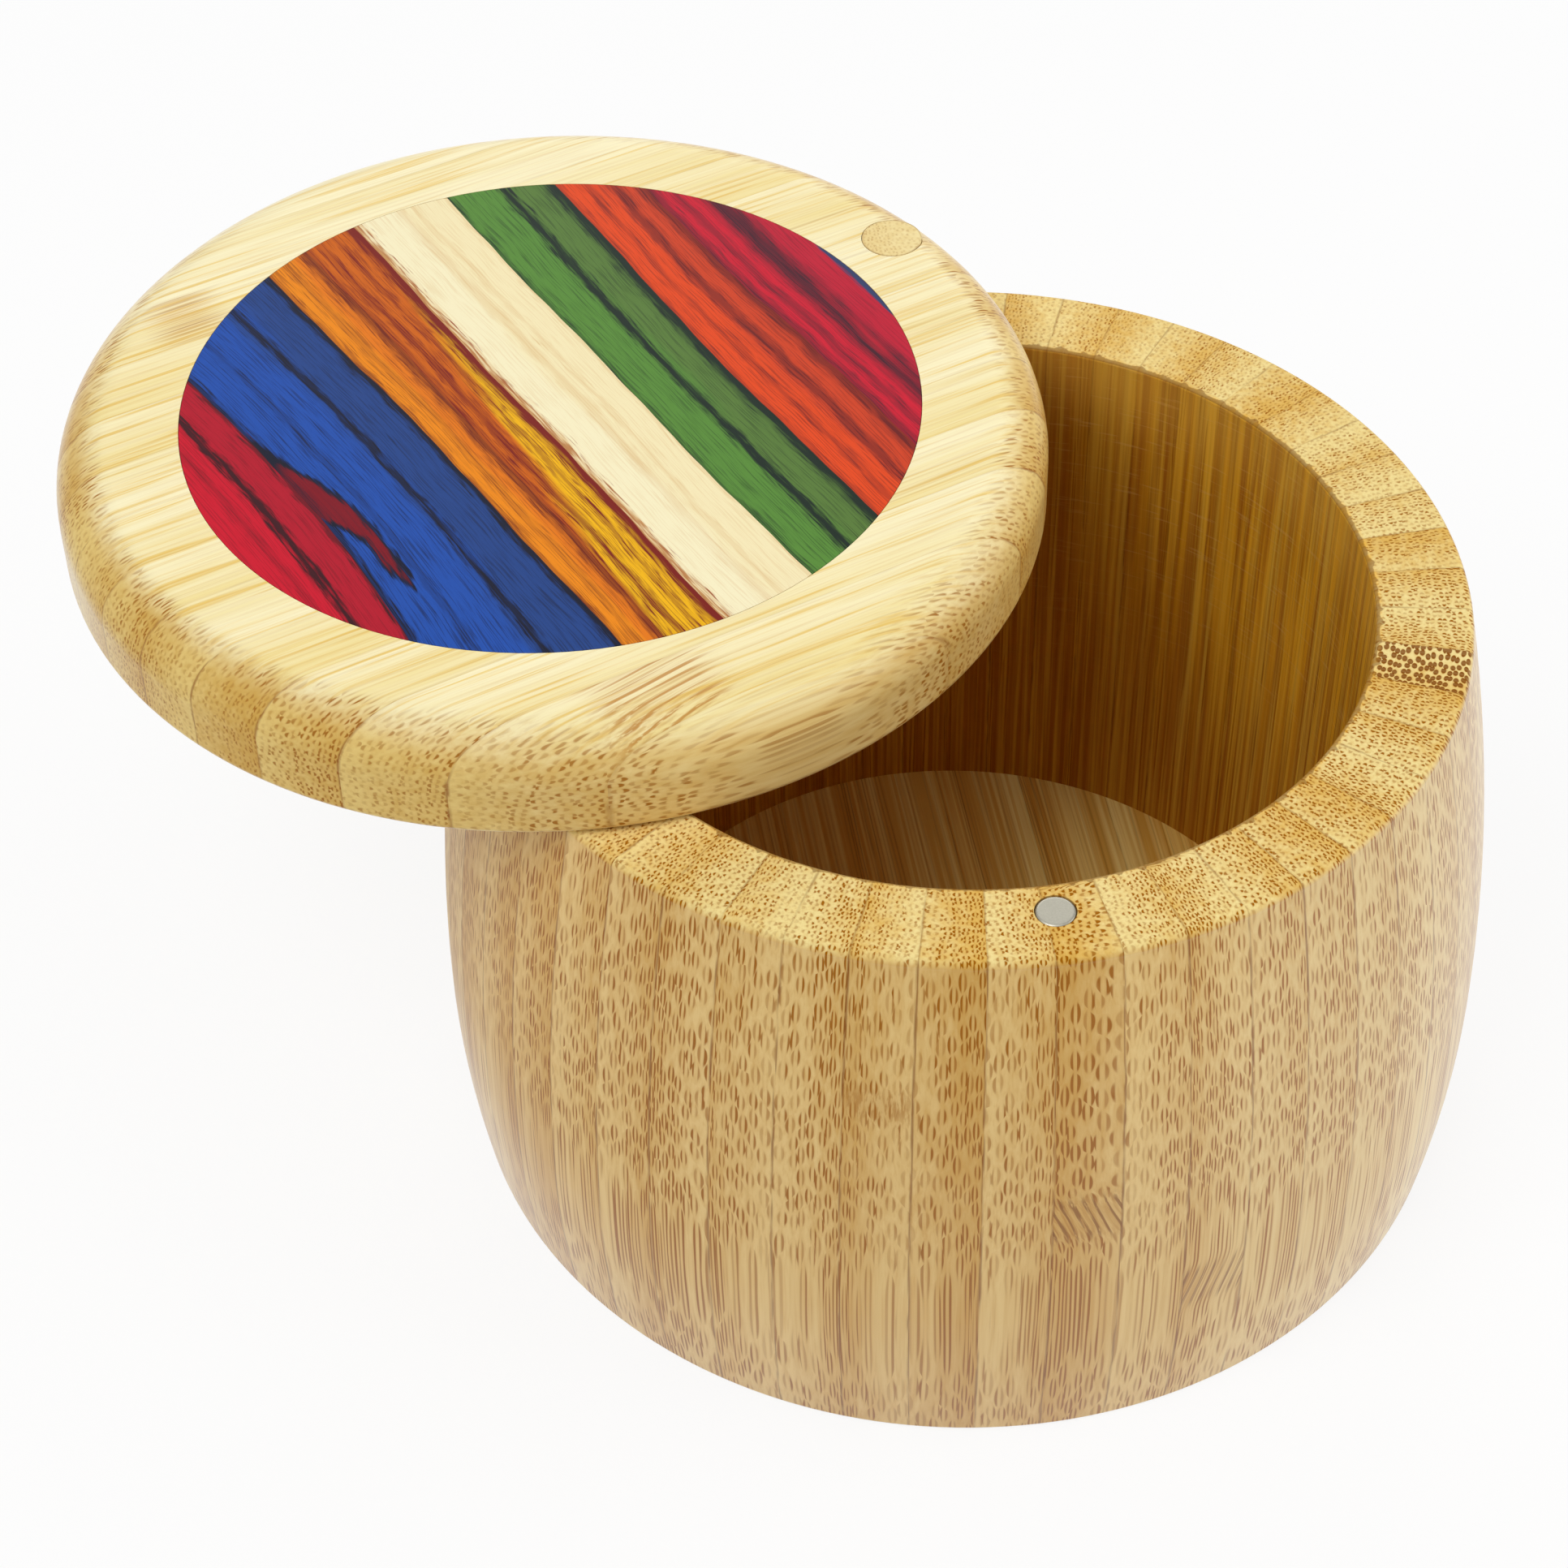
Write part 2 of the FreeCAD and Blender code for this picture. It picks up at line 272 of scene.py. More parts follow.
def bambooSurface(shader, across, depth, along, side, edge, strip, endGrain, look, knots,
                  cover=None, coat=None, dots=None, calmAndPaintedLight=1.0, paintedHaze=None, marksAndPaintedLight=()):
    # across, depth and along place a point in its strip; side is 0 to 1 across it, edge is mm to a joint
    flipChance, strength, tone = strip.chances(look["seed"])
    flip = flipChance > 0.5
    sign = 1 - 2 * flip
    skin = flip + sign * side
    knot, lean, _, fanned = knots
    # slow wander of the fibres
    drift = grainNoise(strip, across, depth, along, bamboo["drift"], 1)
    driftAcross, driftDepth, cloud = drift.parts()
    acrossNow = (across + lean) * sign + (driftAcross - 0.5) * (2 * bamboo["wander"])
    depthNow = depth + (driftDepth - 0.5) * (2 * bamboo["wander"])
    # bundles: staggered cells of the cross-section, closer towards the skin, each with two curved dark caps
    pitch = look.get("bundleScale", 1.0)
    crowd = 1 + acrossNow * (bamboo["crowding"] / look["width"])
    packed = acrossNow / (bamboo["acrossPitch"] * pitch) * crowd
    row = depthNow / (bamboo["depthPitch"] * pitch) + strip * bamboo["rowShift"]
    cellPoint = strip.point(row + packed * bamboo["stagger"], packed + strip * bamboo["columnShift"], 0.0)
    settings = {"voronoi_dimensions": "2D", "feature": "F1"}
    inputs = {"Vector": cellPoint, "Scale": 1.0, "Randomness": bamboo["jitter"]}
    cell = strip.node("ShaderNodeTexVoronoi", settings, inputs)
    cellChance, cellSize, _ = cell.other("Color").parts()
    toCell = {0: cellPoint, 1: cell.other("Position")}
    shearX, fromY, _ = strip.node("ShaderNodeVectorMath", {"operation": "SUBTRACT"}, toCell).parts()
    fromX = shearX - fromY * bamboo["stagger"]
    square = fromX * fromX
    fromLine = abs(fromY) - bamboo["capPlace"] + square * bamboo["capBend"]
    spread = square * bamboo["capLength"] + fromLine * fromLine
    fromCap = spread.maths("SQRT", spread) + cellSize * bamboo["capShrink"]
    capSide = (fromY * (cellSize - 0.5)).smooth(*bamboo["capTurn"]).ranged(*bamboo["capSideInk"])
    cap = fromCap.smooth(bamboo["capSize"], bamboo["capSize"] * 0.5)
    bundle = cap * cellChance.ranged(*bamboo["cellInk"]) * capSide
    cluster = grainNoise(strip, acrossNow, depthNow, along, bamboo["cluster"]).smooth(*bamboo["clusterFrom"])
    dots = endGrain if dots is None else dots
    grainShare = dots.maths("MAXIMUM", dots, knot).ranged(look["longGrain"], 1.0)
    share = skin.ranged(*bamboo["skinInk"]) * strength.ranged(*bamboo["stripInk"])
    # the last factor thins the bundles, and on the wall's rim it is partly painted light
    share = share * cluster.ranged(*bamboo["clusterInk"]) * grainShare * calmAndPaintedLight
    dark = bundle * share * (1 - bamboo["fannedLoss"] * fanned)
    halo = fromCap.smooth(*bamboo["haloReach"]) * share
    # fine fibres and broad streaks
    fibre = grainNoise(strip, acrossNow, depthNow, along, bamboo["fibre"])
    streak = grainNoise(strip, acrossNow, depthNow, along, bamboo["streak"])
    shade = skin * bamboo["skinTone"] + tone * bamboo["stripTone"]
    shade = shade + (streak - 0.5) * bamboo["streakTone"] + (cloud - 0.5) * bamboo["cloudTone"]
    deepness = shade.smooth(0.0, 1.0)
    endColour = deepness.mixed(look["endPale"], look["endDeep"])
    colour = endGrain.mixed(deepness.mixed(look["pale"], look["deep"]), endColour)
    if cover is not None:  # a surface with streaks of its own
        straight = across + (driftAcross - 0.5) * (bamboo["coverWander"] * bamboo["wander"])
        grain = (look["coverLines"], bamboo["coverDepth"], look["coverRate"], bamboo["coverShift"],
                 bamboo["coverDetail"])
        lines = grainNoise(strip, straight, depthNow, along, grain)
        lines = lines.smooth(look["coverFrom"], look["coverFrom"] + bamboo["coverSoft"])
        covered = cover * (1 - endGrain)
        colour = covered.mixed(colour, lines.mixed(look["coverPale"], look["coverDark"]), "MULTIPLY")
    # painted haze: colour drawn paler and greyer where light falls, not the wood's own tone
    if paintedHaze is not None:
        colour = paintedHaze.mixed(colour, look["paintedHazeTint"])
    colour = (fibre.smooth(*bamboo["fibreFrom"]) * look["fibreInk"]).mixed(colour, look["halo"])
    colour = (halo * look["haloInk"]).mixed(colour, look["halo"])
    colour = (dark * look["bundleInk"]).mixed(colour, look["ink"])
    if "darkStrip" in look:  # one strip whose bundles stand out at its end
        whole = square * bamboo["dotLength"] + fromY * fromY
        dot = onStrip(strip, look["darkStrip"]) * whole.smooth(*bamboo["dotSize"]) * bamboo["dotInk"]
        colour = (dot * endGrain).mixed(colour, look["seam"])
    if look["knots"]:
        patch = knot * look["knotInk"] * (1 - bamboo["fannedPatch"] * fanned)
        patch = patch * fibre.smooth(*bamboo["knotFibre"]).ranged(*bamboo["knotFibreInk"])
        colour = patch.mixed(colour, look["knot"])
        stroke = acrossNow / look["strokeGap"] + (streak - 0.5) * bamboo["strokeSway"]
        fromStroke = abs(stroke.maths("FRACT", stroke) - 0.5)
        shown = fanned.smooth(*bamboo["fannedFrom"]) * fibre.smooth(*bamboo["strokeFibre"])
        shown = shown * look["strokeInk"]
        colour = (shown * fromStroke.smooth(*bamboo["strokeWidth"])).mixed(colour, look["stroke"])
    seam = edge.smooth(bamboo["jointWidth"], bamboo["jointCore"])
    seam = seam * grainNoise(strip, depth, across, along, bamboo["joint"]).smooth(*bamboo["jointFrom"])
    seam = seam * endGrain.smooth(*bamboo["jointEnd"]).ranged(look["seamInk"], look["endSeamInk"])
    colour = seam.mixed(colour, look["seam"])
    # marks on the surface, which for the wall include painted light in the bore
    for mark, tint in marksAndPaintedLight:
        colour = mark.mixed(colour, tint)
    roughness = look["roughness"] + bamboo["fibreRough"] * (fibre - 0.5) + bamboo["bundleRough"] * dark
    height = fibre * bamboo["fibreRise"] - dark * bamboo["bundleSink"] - seam * bamboo["jointSink"]
    relief = bumped(height, look["relief"], bamboo["reliefDepth"])
    wires = {"Base Color": colour, "Roughness": roughness, "Normal": relief}
    constants = {"Specular IOR Level": look["gloss"]}
    if coat is not None:
        wires["Coat Weight"] = coat
        constants["Coat Roughness"] = look["coatRoughness"]
        constants["Coat IOR"] = look["coatBend"]
    finish(shader, wires, constants)


wall = {
    "staves": 50,
    "firstJoint": 2.3,     # degrees from +X
    "width": 5.4,          # of a stave at half its depth, mm
    "seed": 11.0,
    # stave, height, half height and slant of its fibres
    "knots": [(34, 43.6, 2.6, 0.0), (37, 30.2, 4.0, 0.55), (39, 17.5, 4.0, -0.45), (5, 22.0, 3.5, 0.5),
              (14, 40.0, 3.5, -0.5), (21, 12.0, 3.0, 0.4)],
    "knot": paint(168, 108, 20),
    "knotInk": 0.6,
    "strokeGap": 0.95,     # between the fibres that stand out at a knot, mm
    "stroke": paint(136, 80, 10),
    "strokeInk": 0.8,
    "darkStrip": 46,       # the stave at the right with bold dots
    "pale": paint(230, 197, 130),
    "deep": paint(208, 164, 88),
    "paintedHazeTint": paint(228, 206, 148),   # painted haze: the outside drawn paler and greyer on the right, where light falls
    "paintedHazeAt": (0.0, 30.0),
    "paintedHazeShare": 0.55,
    "endPale": paint(243, 222, 152),
    "endDeep": paint(225, 182, 92),
    "coverPale": paint(244, 228, 132),   # streaks of the bore
    "coverDark": paint(196, 148, 66),
    "coverLines": 1.5,     # per mm across, and changes per mm along
    "coverRate": 0.012,
    "coverFrom": 0.36,
    "boreEdge": (36.6, 36.0),      # radii from rim to bore, mm
    "outerSide": (38.0, 43.0),     # radii over which the fibres take up their slope, mm
    "slope": 0.2,          # of the fibres against the outside above the belly
    "belly": 17.4,         # height of the widest place, mm
    "flank": 41.4,         # from there to the rim, mm
    "lineHeight": (23.0, 29.0),    # of the line below which a stave's fibres run straight down, mm
    "lineBlend": 8.0,
    "lineSeed": 0.71,
    "halo": paint(196, 138, 42),   # warmer wood round a bundle
    "haloInk": 0.38,
    "ink": paint(160, 98, 6),
    "seam": paint(132, 76, 14),
    "seamInk": 0.75,
    "endSeamInk": 0.5,
    "bundleInk": 2.5,
    "fibreInk": 0.25,
    "longGrain": 0.9,
    # fewer bundles show in the bore; on the rim, fainter dots at the back are a painted sheen of light from
    # behind, and fainter dots at the left are painted light over the lid's shadow
    "backPaintedSheen": 0.55,
    "backPaintedSheenAt": (-15.0, 25.0),
    "leftPaintedLight": 0.25,
    "leftPaintedLightAt": (-5.0, -28.0),
    "boreCalm": 0.4,
    "roughness": 0.5,
    "gloss": 0.05,
    "coatSlant": (0.1, 0.42),      # satin oil outside, seen at a slant
    "coatRoughness": 0.28,
    "coatBend": 1.6,
    "dullShare": 0.6,              # less of it high on the left
    "dullAt": (15.0, -40.0),
    "dullHeight": (8.0, 30.0),
    "relief": 0.6,
}

# scratches and teeth that the turning leaves in the bore, and painted light there as golden streaks at the
# right and a pale band near the mouth: places in mm, and turns are changes per stave
turningAndPaintedLight = {
    "scratch": {"colour": paint(226, 184, 104), "share": 0.25, "turns": 0.9, "rate": 3.0, "twist": 0.35,
                "layer": 11.0, "detail": 2.0, "from": (0.58, 0.68), "height": (12.0, 45.0)},
    # painted light: a pale golden band high in the bore, towards its mouth
    "paintedMouthLight": {"colour": paint(250, 198, 90), "share": 0.25, "height": (48.0, 58.0)},
    "tooth": {"reach": 0.6, "turns": 3.5, "layer": 2.0, "detail": 4.0, "from": (0.45, 0.75)},
    "chip": {"colour": paint(116, 66, 8), "share": 0.6, "radius": (36.25, 36.1), "end": (0.0, 0.4)},
    # painted light: golden streaks high on the right of the bore
    "paintedLightStreaks": {"colour": paint(245, 182, 40), "share": 0.6, "turns": 4.0, "rate": 0.02, "layer": 4.0,
             "detail": 3.0, "from": (0.42, 0.62), "right": (10.0, 33.0), "height": (5.0, 40.0)},
}


def turningMarksAndPaintedLight(turn, x, z, depth, bore, endGrain):
    # painted light as golden streaks at the right and a pale golden band near the mouth, scratches round the
    # bore and small teeth at its edge
    # painted light: golden streaks high on the right of the bore, where light from the left falls
    paintedLightStreaks = turningAndPaintedLight["paintedLightStreaks"]
    ray = z.noise(z.point(turn * paintedLightStreaks["turns"], z * paintedLightStreaks["rate"], paintedLightStreaks["layer"]), paintedLightStreaks["detail"])
    paintedLightStreaksHere = bore * x.smooth(*paintedLightStreaks["right"]) * z.smooth(*paintedLightStreaks["height"]) * ray.smooth(*paintedLightStreaks["from"])
    scratch = turningAndPaintedLight["scratch"]
    climb = (z + turn * scratch["twist"]) * scratch["rate"]
    line = z.noise(z.point(turn * scratch["turns"], climb, scratch["layer"]), scratch["detail"])
    scratchHere = bore * line.smooth(*scratch["from"]) * z.smooth(*scratch["height"])
    # painted light: the bore paler and more golden towards its mouth
    paintedMouthLight = turningAndPaintedLight["paintedMouthLight"]
    paintedMouthLightHere = bore * z.smooth(*paintedMouthLight["height"])
    tooth = turningAndPaintedLight["tooth"]
    jag = z.noise(z.point(turn * tooth["turns"], tooth["layer"], 0.0), tooth["detail"])
    chip = turningAndPaintedLight["chip"]
    edge = (depth - jag.smooth(*tooth["from"]) * tooth["reach"]).smooth(*chip["radius"])
    chipHere = edge * endGrain.smooth(*chip["end"])
    places = [(paintedLightStreaks, paintedLightStreaksHere), (scratch, scratchHere), (paintedMouthLight, paintedMouthLightHere), (chip, chipHere)]
    return [(here * look["share"], look["colour"]) for look, here in places]


def wallBamboo():
    # each stave is a sector: its own middle line, turned to X, gives depth and offset across it
    material, shader, point, normal = newMaterial("bambooWall")
    x, y, z = point.parts()
    step = math.radians(360 / wall["staves"])
    start = math.radians(wall["firstJoint"])
    turn = (y.maths("ARCTAN2", y, x) - start) / step
    number = turn.maths("FLOOR", turn)
    middle = (number + 0.5) * step + start
    cosine = middle.maths("COSINE", middle)
    sine = middle.maths("SINE", middle)
    depth = x * cosine + y * sine
    across = y * cosine - x * sine
    halfWidth = depth * math.tan(step / 2)
    side = across / halfWidth * 0.5 + 0.5
    edge = halfWidth - abs(across)
    strip = number.maths("FLOORED_MODULO", number, float(wall["staves"]))
    endGrain = abs(normal.parts()[2]).smooth(*bamboo["endFrom"])
    bore = depth.smooth(*wall["boreEdge"])
    # outside, fibres keep one slope to the surface from the rim down to a line that differs between staves
    line = strip.chances(wall["seed"] + wall["lineSeed"])[0].ranged(*wall["lineHeight"])
    knots = knotsOf(strip, z, wall, 1 - bore)
    held = z + knots[2]
    height = held.maths("SMOOTH_MAX", held, line, wall["lineBlend"]) - wall["belly"]
    below = wall["flank"] - height
    tilt = below * below * (wall["slope"] / 2 / wall["flank"])
    outside = depth.smooth(*wall["outerSide"])
    flanks = (1 - bore) * (1 - endGrain)
    dull = wall["dullShare"] * x.smooth(*wall["dullAt"]) * z.smooth(*wall["dullHeight"])
    coat = flanks * slantGloss(z, *wall["coatSlant"]) * (1 - dull)
    # fewer bundles in the bore, and painted light on the rim: a sheen at the back, and lighter dots at the
    # left where the lid's shadow falls
    calmAndPaintedLight = 1 - wall["backPaintedSheen"] * endGrain * y.smooth(*wall["backPaintedSheenAt"]) - wall["boreCalm"] * bore
    calmAndPaintedLight = calmAndPaintedLight - wall["leftPaintedLight"] * endGrain * x.smooth(*wall["leftPaintedLightAt"])
    # painted haze: the outside paler and greyer towards +X, where light from the right falls
    paintedHaze = x.smooth(*wall["paintedHazeAt"]) * flanks * wall["paintedHazeShare"]
    marksAndPaintedLight = turningMarksAndPaintedLight(turn, x, z, depth, bore, endGrain)
    bambooSurface(shader, across, depth + tilt * outside, z, side, edge, strip, endGrain, wall, knots,
                  cover=bore, coat=coat, calmAndPaintedLight=calmAndPaintedLight, paintedHaze=paintedHaze, marksAndPaintedLight=marksAndPaintedLight)
    return material


floorBoard = {
    "strips": 9,
    "grainAngle": 90.0,    # fibres from +X, degrees
    "width": 8.4,
    "seed": 31.0,
    "knots": [],
    "pale": paint(252, 234, 166),
    "deep": paint(238, 202, 118),
    "endPale": paint(226, 190, 112),
    "endDeep": paint(196, 146, 66),
    "halo": paint(212, 160, 70),
    "haloInk": 0.2,
    "ink": paint(120, 70, 10),
    "coverPale": paint(255, 254, 235),   # streaks of its top
    "coverDark": paint(228, 200, 140),
    "coverLines": 1.8,
    "coverRate": 0.012,
    "coverFrom": 0.38,
    "seam": paint(96, 54, 16),
    "seamInk": 0.3,
    "endSeamInk": 0.3,
    "bundleInk": 0.6,
    "fibreInk": 0.3,
    "longGrain": 1.0,
    "sideGrain": 0.0,
    "roughness": 0.5,
    "gloss": 0.15,
    "coatRoughness": 0.35,
    "coatBend": 1.3,
    "relief": 0.35,
}

lidBoard = {
    "strips": 14,
    "edgeStrip": 3.1,      # the narrow last strip, mm
    "grainAngle": 21.0,    # fibres from +X, lid open as at rest, degrees
    "width": 6.6,
    "seed": 57.0,
    "knots": [(2, -23.3, 5.0, 0.0), (12, -9.7, 8.0, 0.2)],   # strip, place along it, half length and slant
    "knot": paint(212, 166, 82),
    "knotInk": 0.6,
    "strokeGap": 0.9,      # between the fibres that stand out at a knot, mm
    "stroke": paint(188, 126, 42),
    "strokeInk": 0.75,
    "coverPale": paint(255, 253, 246),   # streaks of its top
    "coverDark": paint(242, 216, 148),
    "coverLines": 2.4,
    "coverRate": 0.045,
    "coverFrom": 0.49,
    "pale": paint(250, 242, 204),
    "deep": paint(240, 222, 156),
    "endPale": paint(231, 202, 124),
    "endDeep": paint(206, 163, 76),
    "halo": paint(206, 154, 66),
    "haloInk": 0.3,
    "ink": paint(164, 106, 28),
    "seam": paint(150, 96, 40),
    "seamInk": 0.15,
    "endSeamInk": 0.8,
    "bundleScale": 1.1,
    "bundleInk": 1.35,
    "fibreInk": 0.2,
    "longGrain": 0.1,
    "sideGrain": 0.75,     # how much its turned edge shows bundles where it runs along the fibres
    "roughness": 0.48,
    "gloss": 0.2,
    "coatRoughness": 0.3,
    "coatBend": 1.5,
    "relief": 0.3,
}

# what both boards share, from parts of a face's normal
board = {
    "uprightFrom": (0.8, 0.4),     # upward part, flat to upright
    "endFrom": (0.1, 0.65),        # part along the fibres, side to end grain
    "dotsFrom": (0.03, 0.35),      # bundles show as dots before that
    "coatSlant": (0.5, 0.9),       # satin oil, seen at a slant
    "flatFrom": (0.85, 1.0),       # little of it on flat faces
    "flatLoss": 0.85,
}


def boardBamboo(name, look, centre, start, step):
    # strips of one board: fibres at an angle from X, joints a step apart from start, measured across them
    material, shader, point, normal = newMaterial(name)
    x, y, z = point.parts()
    angle = math.radians(look["grainAngle"])
    cosine, sine = math.cos(angle), math.sin(angle)
    fromX, fromY = x - centre[0], y - centre[1]
    along = fromX * cosine + fromY * sine
    offset = fromX * sine - fromY * cosine
    place = (offset - start) / step
    last = float(look["strips"] - 1)
    whole = place.maths("MINIMUM", place.maths("FLOOR", place), last)
    number = place.maths("MAXIMUM", whole, 0.0)
    side = place - number
    across = (side - 0.5) * step
    joint = place.maths("MINIMUM", place.maths("ROUND", place), last)
    edge = abs(place - place.maths("MAXIMUM", joint, 1.0)) * step
    normalX, normalY, normalZ = normal.parts()
    upright = abs(normalZ).smooth(*board["uprightFrom"]) * look["sideGrain"]
    cut = abs(normalX * cosine + normalY * sine)
    endGrain = upright.maths("MAXIMUM", upright, cut.smooth(*board["endFrom"]))
    dots = upright.maths("MAXIMUM", upright, cut.smooth(*board["dotsFrom"]))
    cover = z * 0.0 + 1.0
    flat = abs(normalZ).smooth(*board["flatFrom"])
    coat = slantGloss(z, *board["coatSlant"]) * (1 - board["flatLoss"] * flat)
    knots = knotsOf(number, along, look)
    bambooSurface(shader, across, z, along, side, edge, number, endGrain, look, knots, cover, coat, dots)
    return material


dowel = {
    "number": 3.0,         # stands in for a strip's number in its random draws
    "width": 5.6,
    "seed": 83.0,
    "knots": [],
    "pale": paint(240, 212, 140),
    "deep": paint(220, 180, 98),
    "endPale": paint(244, 226, 166),
    "endDeep": paint(230, 204, 136),
    "halo": paint(222, 186, 110),
    "haloInk": 0.3,
    "ink": paint(168, 114, 48),
    # seam here is painted shade: a dark ring round the dowel's end where it meets the lid
    "seam": paint(140, 92, 40),
    "seamInk": 0.5,
    "endSeamInk": 0.5,
    "bundleInk": 0.7,
    "fibreInk": 0.2,
    "longGrain": 0.6,
    "roughness": 0.5,
    "gloss": 0.2,
    "relief": 0.3,
}


def dowelBamboo():
    # one round rod, its fibres upright; the dark rim where it meets the lid is painted shade of the gap
    # between them
    low, high = groupBox("pivot_dowel")
    middle = (low + high) / 2
    radius = (high[0] - low[0]) / 2
    material, shader, point, normal = newMaterial("bambooDowel")
    x, y, z = point.parts()
    across, depth = x - middle[0], y - middle[1]
    side = across / (2 * radius) + 0.5
    out = across * across + depth * depth
    edge = radius - out.maths("SQRT", out)
    strip = z * 0.0 + dowel["number"]
    endGrain = abs(normal.parts()[2]).smooth(*bamboo["endFrom"])
    bambooSurface(shader, across, depth, z, side, edge, strip, endGrain, dowel, knotsOf(strip, z, dowel))
    return material


inlay = {
    "angle": -66.0,        # stripes from +X, lid open as at rest, degrees
    "stations": 120,
    "thinnest": 0.05,      # a stripe ends where it is narrower, mm
    "searchSteps": 20001,
    # borders across the stripes, mm: middle, lean per mm along, bow over the radius, height of the waves
    "borders": [(-24.6, 0.0, -2.8, 0.1), (-11.5, 0.02, -0.4, 0.12), (-7.5, 0.0, -0.3, 0.1),
                (-2.4, 0.0, 0.0, 0.12), (6.7, -0.01, 0.3, 0.1), (15.8, -0.025, 0.7, 0.1),
                (23.6, 0.0, 0.4, 0.2)],
    # waves of a border: radians per mm, shift from border to border, and the height beside the first one's
    "longWave": (0.17, 2.1, 1.0),
    "midWave": (0.41, 4.3, 0.35),
    "shortWave": (0.9, 1.7, 0.4),
    "swell": (0.23, 1.0, 1.0),     # the short wave comes and goes with it
    # noises of the grain: changes per mm across and along, layer, detail
    "feather": (3.2, 0.3, 1.0, 3.0),
    "hair": (8.0, 0.16, 5.0, 3.0),
    "cloud": (0.5, 0.04, 9.0, 2.0),
    "strand": (5.0, 0.3, 3.0, 2.0),
    "waver": 1.2,          # sideways, mm, and its changes per mm across and along
    "waverAcross": 0.1,
    "waverAlong": 0.04,
    "seedStep": 13.7,
    "turnCloud": 0.6,      # how cloudy the turn from one dye to the next is, and how gentle
    "turnSoft": 0.12,
    "fringeReach": (0.8, 0.1),     # mm
    "fringeRagged": 3.5,
    "sliverReach": (0.85, 0.5),
    "sliverRagged": 0.8,
    "featherFrom": (0.5, 0.8),     # fine dark grain
    "featherInk": 0.3,
    "hairFrom": (0.5, 0.62),
    "hairInk": 0.6,
    "ragged": 2.0,         # how far streaks and dark edges feather out, mm
    "streakFrom": (0.2, 0.45),     # streaks come and go
    "softCore": 0.2,       # share of an edge's or a streak's width that is full
    "roughness": 0.45,
    "roughSpread": 0.12,
    "gloss": 0.08,
    "relief": 0.15,
    "reliefDepth": 0.03,
}

# the tongue of red veneer that runs into the blue one, mm along the stripe and from its low border
redTongue = {
    "colour": paint(126, 10, 28),
    "top": [(-13.0, 6.0, 3.35), (13.0, 20.0, -2.0)],   # from, to and rise
    "foot": [(1.0, 7.5, 2.6), (11.0, 17.0, 1.4)],
    "footStart": -0.6,
    "blend": 0.5,
    "ragged": 1.6,
    "edge": (-0.1, 0.2),
    "rimWidth": (0.5, 0.05),
    "rimStart": (-10.0, -6.0),
    "rimEnd": (22.0, 16.0),
    "rimFoot": (0.0, 0.8),
    "rimInk": 0.9,
    "grainLoss": 0.4,
    "startAt": (-3.0, -8.0),       # dark where it begins
    "startInk": 0.8,
}

# each stripe from the left: dye, the dye it turns to and where, dark tone, strength of its fine grain,
# dark edges (strength, mm) and dark streaks (place across from 0 to 1, half width in mm, strength)
stripes = {
    "red": {"dye": paint(202, 18, 44), "turn": paint(178, 18, 42), "turnAt": 0.6,
            "dark": paint(56, 6, 18), "grain": 0.5, "low": (0.0, 1.0), "high": (0.7, 0.6),
            "streaks": [(0.56, 0.4, 1.0), (0.3, 0.3, 0.3)]},
    "blue": {"dye": paint(30, 78, 168), "turn": paint(32, 66, 132), "turnAt": 0.6,
             "dark": paint(8, 12, 34), "grain": 0.8, "low": (0.8, 1.0), "high": (1.0, 1.0),
             "streaks": [(0.63, 0.35, 0.9), (0.3, 0.3, 0.35)], "tongue": redTongue},
    "orange": {"dye": paint(236, 138, 14), "turn": paint(226, 120, 14), "turnAt": 0.6,
               "dark": paint(112, 34, 6), "grain": 0.7, "low": (0.5, 0.7), "high": (0.8, 1.2),
               "streaks": [(0.45, 0.3, 0.3)]},
    "gold": {"dye": paint(206, 100, 8), "turn": paint(242, 182, 8), "turnAt": 0.5, "turnAlong": 0.02,
             "dark": paint(120, 22, 8), "grain": 0.9, "low": (0.5, 0.8), "high": (1.0, 1.5),
             "streaks": [(0.28, 0.35, 0.7), (0.6, 0.25, 0.5)]},
    "cream": {"dye": paint(247, 237, 196), "turn": paint(245, 231, 184), "turnAt": 0.5,
              "dark": paint(214, 170, 104), "grain": 0.35, "low": (0.5, 1.1), "high": (0.3, 0.5),
              "streaks": [(0.5, 0.4, 0.3), (0.66, 0.25, 0.25)], "fringe": paint(150, 56, 24)},
    "green": {"dye": paint(86, 136, 52), "turn": paint(86, 120, 52), "turnAt": 0.52,
              "dark": paint(10, 30, 18), "grain": 0.7, "low": (0.5, 0.7), "high": (1.0, 1.6),
              "streaks": [(0.52, 0.45, 1.0)]},
    "vermilion": {"dye": paint(226, 72, 18), "turn": paint(206, 64, 26), "turnAt": 0.5,
                  "dark": paint(104, 18, 14), "grain": 0.7, "low": (0.4, 0.7), "high": (0.8, 1.4),
                  "streaks": [(0.3, 0.3, 0.4), (0.6, 0.45, 0.7)]},
    "crimson": {"dye": paint(206, 16, 46), "turn": paint(190, 16, 48), "turnAt": 0.5,
                "dark": paint(64, 8, 30), "grain": 0.5, "low": (0.6, 1.2), "high": (0.0, 1.0),
                "streaks": [(0.5, 1.0, 0.9), (0.2, 0.4, 0.5)], "sliver": paint(44, 58, 100)},
}


